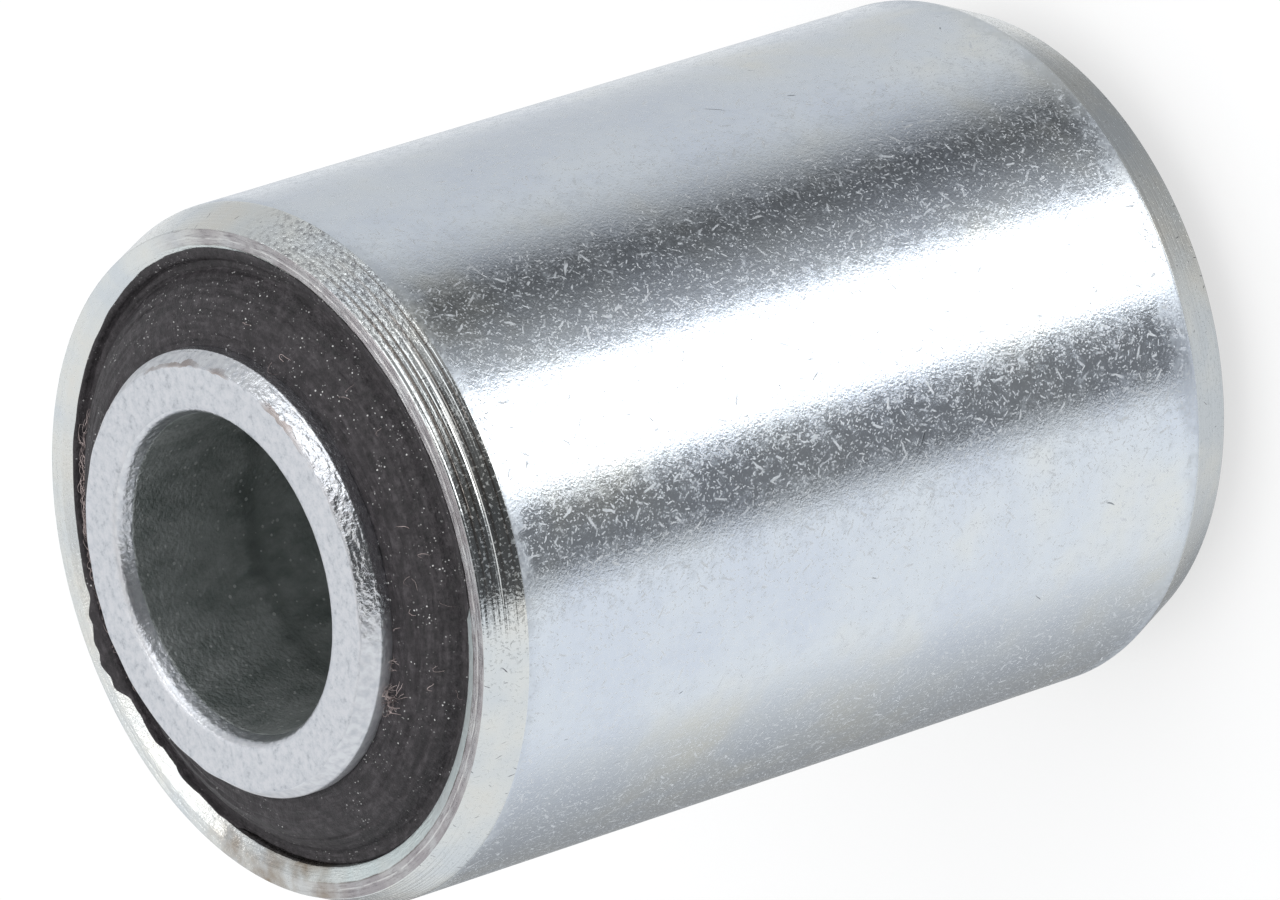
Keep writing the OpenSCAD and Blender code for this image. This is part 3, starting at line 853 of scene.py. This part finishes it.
# rubber ring, in mm
rubber = {"recess": 0.4, "landWidth": 0.45, "landRise": 0.1, "swellRise": 0.3, "columns": 400,
          "swellRows": 56, "landRows": 10, "skin": 0.06, "ridge": 0.15, "ridgeDepth": 0.05, "ridgeWaves": 1.6,
          "ridgeUnder": 0.7, "fineWaves": 4.0, "fineShare": 0.5, "lump": 0.45, "lumpDepth": 0.03,
          "lumpUnder": 0.5,
          # grooves: radius, depth and width
          "grooves": ((9.13, 0.06, 0.05), (8.55, 0.06, 0.045), (8.0, 0.04, 0.06)), "grooveWander": 0.05,
          # heading in degrees, and how far the rubber laps over the sleeve's dished mouth there
          "flash": ((-180, 0), (-111, 0), (-108, 0.46), (-60, 0.46), (-25, 0.42), (0, 0.30), (18, 0.16),
                    (35, 0.08), (72, 0.06), (79, 0.11), (83, 0.16), (86, 0.10), (89, 0.34), (91, 0.30),
                    (94, 0.46), (96, 0.40), (98, 0.56), (101, 0.36), (103, 0.42), (106, 0.06), (136, 0.05),
                    (146, 0), (180, 0)),
          "flashWaves": 9, "flashWander": 0.04, "flashLeast": 0.02, "flashFull": 0.06, "landDrop": 0.08,
          "underDish": 0.06, "tuck": 0.02,
          # rows over the lap and back under it: share of its reach, and height over the dish
          "lapRows": ((0.1, 0.045), (0.45, 0.045), (0.8, 0.04), (0.97, 0.02), (1.0, -0.005), (0.6, -0.015),
                      (0.1, -0.02))}
rubberValues = {"black": "#151315", "brown": "#282427", "grey": "#3f3b3e", "dust": "#d2d2d1", "rough": 0.6,
                "streak": 0.13, "streakAround": 7, "crumb": 0.3, "crumbShare": 0.6, "lineDepth": 0.05,
                "skinGrain": 0.12, "skinDepth": 0.06, "grit": 0.085, "gritSize": 0.36, "clump": 0.9,
                "dustSide": (-40, -1, 1), "dustTilt": 0.26, "fluff": 0.16, "haze": 0.03,
                "hazeFrom": 7.7, "hazeTo": 8.3, "hazeSide": (-80, 0.2, 0.9)}


def makeRubber(values):
    # moulded black rubber, bonded and handled: matt brown-black, flow lines round the ring, dusty with grit
    finish, tree, shader, placeMm = newFinish("mouldedBlackRubber",
                                              {"IOR": 1.52, "Roughness": values["rough"]})
    flow = ringFlow(tree, placeMm, values["streakAround"], values["streak"])
    crumb = addNode(tree, "ShaderNodeTexNoise",
                    {"Scale": 1 / values["crumb"], "Detail": 5.0, "Roughness": 0.7}, {"Vector": placeMm})
    blend = addNode(tree, "ShaderNodeMix", {"data_type": "FLOAT", "Factor": values["crumbShare"]},
                    {"A": flow, "B": crumb.outputs["Fac"]})
    tone = addNode(tree, "ShaderNodeValToRGB", links={"Fac": blend.outputs["Result"]})
    setStops(tone, [(0.36, values["black"]), (0.5, values["brown"]), (0.62, values["grey"])])
    grit = addNode(tree, "ShaderNodeTexVoronoi", {"Scale": 1 / values["grit"]}, {"Vector": placeMm})
    chance = addNode(tree, "ShaderNodeSeparateColor", links={"Color": grit.outputs["Color"]})
    size = addNode(tree, "ShaderNodeMath", {"operation": "MULTIPLY", 1: values["gritSize"]},
                   {0: chance.outputs["Green"]})
    speck = addNode(tree, "ShaderNodeMath", {"operation": "LESS_THAN"},
                    {0: grit.outputs["Distance"], 1: size.outputs["Value"]})
    # the dust has settled thickest on one side, in clumps
    cloud = addNode(tree, "ShaderNodeTexNoise", {"Scale": 1 / values["clump"], "Detail": 3.0},
                    {"Vector": placeMm})
    clump = addNode(tree, "ShaderNodeMapRange",
                    {"From Min": 0.36, "From Max": 0.62, "To Min": 0.1, "To Max": 0.75},
                    {"Value": cloud.outputs["Fac"]})
    where = addNode(tree, "ShaderNodeMath", {"operation": "MULTIPLY_ADD", 1: values["dustTilt"]},
                    {0: sideMask(tree, placeMm, *values["dustSide"]), 2: clump.outputs["Result"]})
    few = addNode(tree, "ShaderNodeMapRange", {"From Min": 0.44, "From Max": 0.74, "To Max": 0.8},
                  {"Value": whereAll(tree, where.outputs["Value"], chance.outputs["Red"])})
    # and a thin haze of fluff lies off the tube
    fluff = addNode(tree, "ShaderNodeTexNoise",
                    {"Scale": 1 / values["fluff"], "Detail": 5.0, "Roughness": 0.75}, {"Vector": placeMm})
    settled = addNode(tree, "ShaderNodeMapRange",
                      {"From Min": 0.42, "From Max": 0.72, "To Max": values["haze"]},
                      {"Value": fluff.outputs["Fac"]})
    offTube = addNode(tree, "ShaderNodeMapRange",
                      {"From Min": values["hazeFrom"], "From Max": values["hazeTo"]},
                      {"Value": radiusOf(tree, placeMm)})
    haze = whereAll(tree, settled.outputs["Result"], offTube.outputs["Result"],
                    sideMask(tree, placeMm, *values["hazeSide"]))
    dust = addNode(tree, "ShaderNodeMath", {"operation": "MULTIPLY_ADD"},
                   {0: speck.outputs["Value"], 1: few.outputs["Result"], 2: haze})
    dusted = addNode(tree, "ShaderNodeMix", {"data_type": "RGBA", mixSecond: linearColour(values["dust"])},
                     {mixFactor: dust.outputs["Value"], mixFirst: tone.outputs["Color"]})
    tree.links.new(dusted.outputs[mixResult], shader.inputs["Base Color"])
    grain = addNode(tree, "ShaderNodeTexNoise",
                    {"Scale": 1 / values["skinGrain"], "Detail": 4.0, "Roughness": 0.65}, {"Vector": placeMm})
    lines = addNode(tree, "ShaderNodeBump", {"Distance": values["lineDepth"] * mm, "Strength": 1.0},
                    {"Height": blend.outputs["Result"]})
    skin = addNode(tree, "ShaderNodeBump", {"Distance": values["skinDepth"] * mm, "Strength": 1.0},
                   {"Height": grain.outputs["Fac"], "Normal": lines.outputs["Normal"]})
    tree.links.new(skin.outputs["Normal"], shader.inputs["Normal"])
    return finish


# the swell is an arc from its foot, beside the land, to the rubber's edge on the tube
landHeight = sleeveHalf - rubber["recess"]
foot = np.array([mouthRadius - rubber["landWidth"], landHeight + rubber["landRise"]])
crown = np.array([tubeRadius, rubberHalf])
chord = np.linalg.norm(crown - foot)
swellRadius = (chord ** 2 / 4 + rubber["swellRise"] ** 2) / (2 * rubber["swellRise"])
outward = np.array([crown[1] - foot[1], foot[0] - crown[0]]) / chord
swellCentre = (foot + crown) / 2 + outward * (rubber["swellRise"] - swellRadius)


def rubberFace(radius):
    # height of the rubber's end face above the bush's middle
    swell = swellCentre[1] + np.sqrt(np.maximum(swellRadius ** 2 - (radius - swellCentre[0]) ** 2, 0))
    land = landHeight + (mouthRadius - radius) / rubber["landWidth"] * rubber["landRise"]
    return np.where(radius < foot[0], swell, land)


def rubberEnd(values, angle, end):
    # rows from the tube out to the sleeve: radius and height of one end, with its flow lines and its flash
    shift = 4.0 * end  # the two ends get different noise
    wallEdge = mouthRadius - values["skin"]
    rowRadius = np.concatenate([np.linspace(tubeRadius, foot[0], values["swellRows"], endpoint=False),
                                np.linspace(foot[0], wallEdge, values["landRows"])])
    radius = np.repeat(rowRadius[:, None], len(angle), 1)
    ringX, ringY = np.cos(angle)[None, :], np.sin(angle)[None, :]
    height = rubberFace(radius)
    waves, fineWaves = values["ridgeWaves"], values["fineWaves"]
    flow = lumps(ringX * waves, ringY * waves, radius / values["ridge"], 1.0, shift)
    fine = lumps(ringX * fineWaves, ringY * fineWaves, radius / values["ridge"] * 2, 1.0, shift + 7)
    lump = lumps(ringX * radius, ringY * radius, height, values["lump"], shift)
    height = (height + values["ridgeDepth"] * (flow + values["fineShare"] * fine - values["ridgeUnder"])
              + values["lumpDepth"] * (lump - values["lumpUnder"]))
    for centre, depth, width in values["grooves"]:
        wander = values["grooveWander"] * lumps(ringX * 2, ringY * 2, np.full((1, 1), centre), 1.0, shift)
        height = height - depth * np.exp(-((radius - centre - wander) / width) ** 2)

    # flash: a thin skin of rubber laps over the sleeve's mouth on one side and leaves it bare on the other
    degrees = np.degrees(np.where(angle > math.pi, angle - turn, angle))
    flashWaves = values["flashWaves"]
    ragged = lumps(np.cos(angle) * flashWaves, np.sin(angle) * flashWaves, np.zeros(1), 1.0, shift)
    reach = np.interp(degrees, *zip(*values["flash"]))
    reach = np.maximum(reach + values["flashWander"] * ragged * (reach > values["flashLeast"]), 0)
    climb = np.clip(reach / values["flashFull"], 0, 1)
    mouthHeight = sleeveHalf - sleeve["dishDepth"]
    slope = sleeve["dishDepth"] / sleeve["dishWidth"]
    landEdge = height[-1] - values["landDrop"] * (1 - climb)
    rows = [(np.full_like(angle, wallEdge),
             landEdge + climb * (mouthHeight - values["underDish"] - landEdge))]
    tucked = wallEdge + values["tuck"]
    for share, lift in values["lapRows"]:
        lapRadius = mouthRadius + reach * share
        lapHeight = np.minimum(mouthHeight + slope * reach * share, sleeveHalf) + lift
        rows.append((tucked + climb * (lapRadius - tucked), landEdge + climb * (lapHeight - landEdge)))
    rows.append((np.full_like(angle, mouthRadius), rows[0][1] - values["tuck"]))
    radius = np.concatenate([radius, np.stack([row[0] for row in rows])])
    height = np.concatenate([height, np.stack([row[1] for row in rows])])
    return radius, height


def makeRubberRing(values):
    angle = np.arange(values["columns"]) * turn / values["columns"]
    topRadius, topHeight = rubberEnd(values, angle, 1)
    lowRadius, lowHeight = rubberEnd(values, angle, -1)
    radius = np.concatenate([topRadius, lowRadius[::-1]])
    height = np.concatenate([topHeight, -lowHeight[::-1]]) + midHeight
    return ringPiece("rubberRing", radius, height, np.zeros(len(radius)), [makeRubber(rubberValues)])


rubberRing = makeRubberRing(rubber)
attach(rubberRing, "root")
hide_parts("rubber_element")

# lint caught on the rubber, in mm
lint = {"thick": 0.007, "thickShares": (0.5, 1.1), "shortest": 0.25, "curl": (0.5, 6.0), "jitter": 0.2,
        "sides": 5, "points": 28, "seed": 5, "lift": 0.22, "liftShares": (0.3, 1.2), "sunk": 0.03,
        "offTube": 0.05, "offSleeve": 0.12, "pale": "#d6c5c2", "grey": "#6b5f5e", "fade": 0.4, "rough": 0.8,
        # tufts: heading and its spread in degrees, radius and its spread, threads, longest thread
        "tufts": ((52, 5, 8.8, 0.25, 8, 2.0), (64, 5, 9.0, 0.2, 20, 1.8), (74, 4, 9.15, 0.16, 34, 1.5),
                  (85, 5, 9.28, 0.1, 30, 1.0), (95, 5, 9.3, 0.08, 20, 0.8), (-60, 25, 8.3, 0.5, 7, 0.7),
                  (-105, 18, 8.5, 0.5, 8, 0.6), (-124, 4, 7.25, 0.06, 6, 0.4), (-134, 2, 7.32, 0.1, 36, 0.7))}


def makeLintFinish(values):
    # cotton fluff: thin grey threads, some of them nearly lost on the black
    finish, tree, shader, placeMm = newFinish("cottonLint", {"Roughness": values["rough"]})
    fade = addNode(tree, "ShaderNodeTexNoise", {"Scale": 1 / values["fade"], "Detail": 1.0},
                   {"Vector": placeMm})
    tone = addNode(tree, "ShaderNodeValToRGB", links={"Fac": fade.outputs["Fac"]})
    setStops(tone, [(0.35, values["grey"]), (0.65, values["pale"])])
    tree.links.new(tone.outputs["Color"], shader.inputs["Base Color"])
    return finish


def threadRings(path, thick, sides):
    # rings of points round a path, each ring square to it
    along = np.gradient(path, axis=0)
    along /= np.linalg.norm(along, axis=1, keepdims=True)
    side = np.cross(along, [0.0, 0.0, 1.0])
    side /= np.maximum(np.linalg.norm(side, axis=1, keepdims=True), 1e-6)
    over = np.cross(side, along)
    rings = []
    for k in range(sides):
        bearing = turn * k / sides
        rings.append(path + thick * (math.cos(bearing) * side + math.sin(bearing) * over))
    return np.stack(rings, 1)


def lintPath(values, rng, angle, radius, longest):
    # a curl that wanders over the rubber's face and lifts off it a little in the middle
    here = radius * np.array([math.cos(angle), math.sin(angle)])
    heading, bend = rng.uniform(0, turn), rng.uniform(*values["curl"]) * rng.choice((-1, 1))
    step = rng.uniform(values["shortest"], longest) / values["points"]
    lift = values["lift"] * rng.uniform(*values["liftShares"])
    path = []
    for k in range(values["points"]):
        away = min(max(np.hypot(*here), tubeRadius + values["offTube"]), mouthRadius - values["offSleeve"])
        here = here / np.hypot(*here) * away
        hump = lift * math.sin(math.pi * k / (values["points"] - 1))
        path.append((*here, float(rubberFace(np.array(away))) + midHeight - values["sunk"] + hump))
        heading += bend * step + rng.gauss(0, values["jitter"])
        here = here + step * np.array([math.cos(heading), math.sin(heading)])
    return np.array(path)


def makeLint(values):
    rng = random.Random(values["seed"])
    spots, faces, sides = [], [], values["sides"]
    for centre, spread, middle, width, threads, longest in values["tufts"]:
        for _ in range(threads):
            angle, radius = math.radians(rng.gauss(centre, spread)), rng.gauss(middle, width)
            path = lintPath(values, rng, angle, radius, longest)
            rings = threadRings(path, values["thick"] * rng.uniform(*values["thickShares"]), sides)
            first = len(spots)
            spots += (rings.reshape(-1, 3) * mm).tolist()
            for k in range(values["points"] - 1):
                for j in range(sides):
                    a, b = first + k * sides + j, first + k * sides + (j + 1) % sides
                    faces.append((a, b, b + sides, a + sides))
            last = first + (values["points"] - 1) * sides
            faces += [tuple(range(first + sides - 1, first - 1, -1)), tuple(range(last, last + sides))]
    mesh = bpy.data.meshes.new("lintThreads")
    mesh.from_pydata(spots, [], faces)
    mesh.polygons.foreach_set("use_smooth", np.ones(len(faces), bool))
    mesh.materials.append(makeLintFinish(values))
    piece = bpy.data.objects.new("lintThreads", mesh)
    bpy.context.collection.objects.link(piece)
    print("made lintThreads", len(spots), "points")
    return piece


lintThreads = makeLint(lint)
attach(lintThreads, "root")
